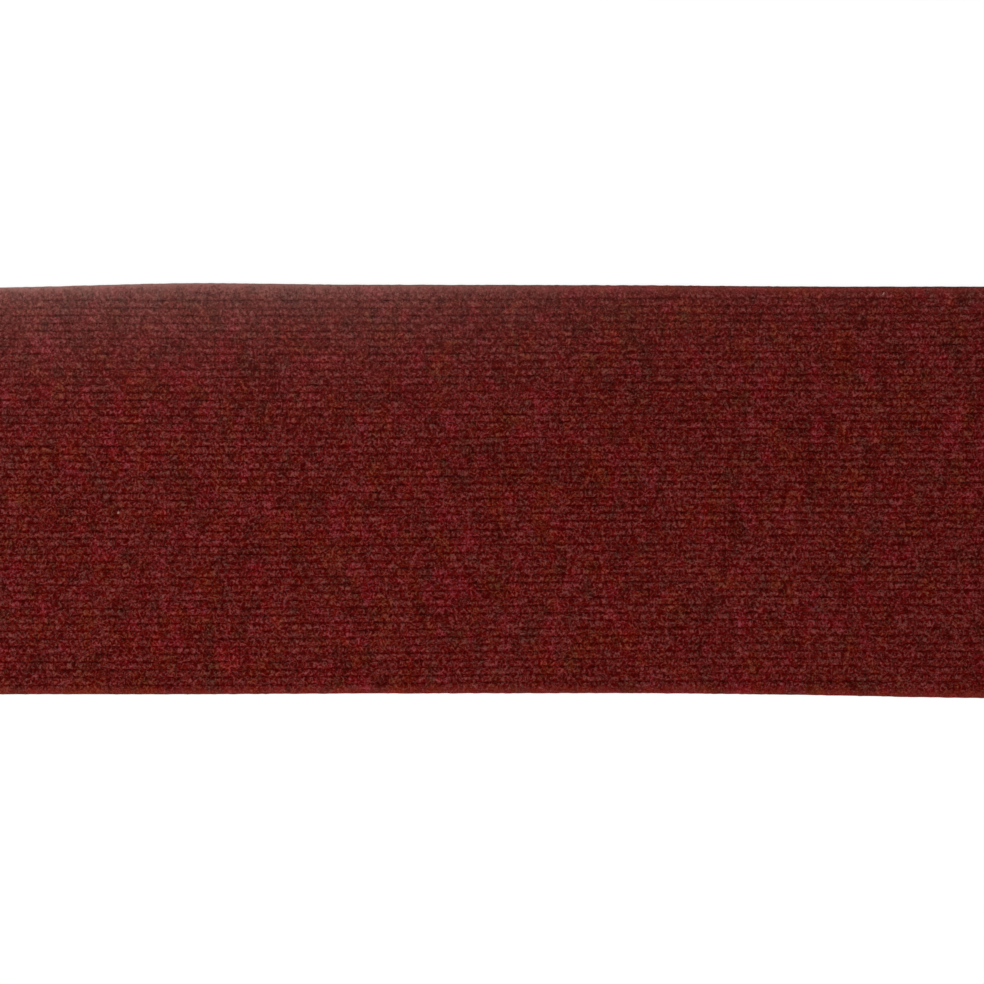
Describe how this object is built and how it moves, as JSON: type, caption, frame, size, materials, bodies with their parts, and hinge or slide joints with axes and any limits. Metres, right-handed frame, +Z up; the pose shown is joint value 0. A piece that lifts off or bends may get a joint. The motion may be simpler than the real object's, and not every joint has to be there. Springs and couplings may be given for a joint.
{
  "type": "stair tread mat",
  "caption": "Flat rectangular anti-slip stair tread mat of dark red ribbed needle felt, with ribs along its length, rolled cut edges and a grip coat underneath.",
  "frame": {"origin": "middle of the underside, at the bottom centre of the bounding box", "axes": "+X along the ribs and the length of the tread, +Y across the tread towards its far long edge, +Z up out of the ribbed face"},
  "size_m": [0.762, 0.2062, 0.0045],
  "materials": {
    "ribbed_felt": "matt dark red needle felt with round ribs, mixed from crimson, rust brown and near-black fibres"
  },
  "bodies": {
    "root": {"tread_mat": "ribbed_felt"}
  },
  "joints": []
}
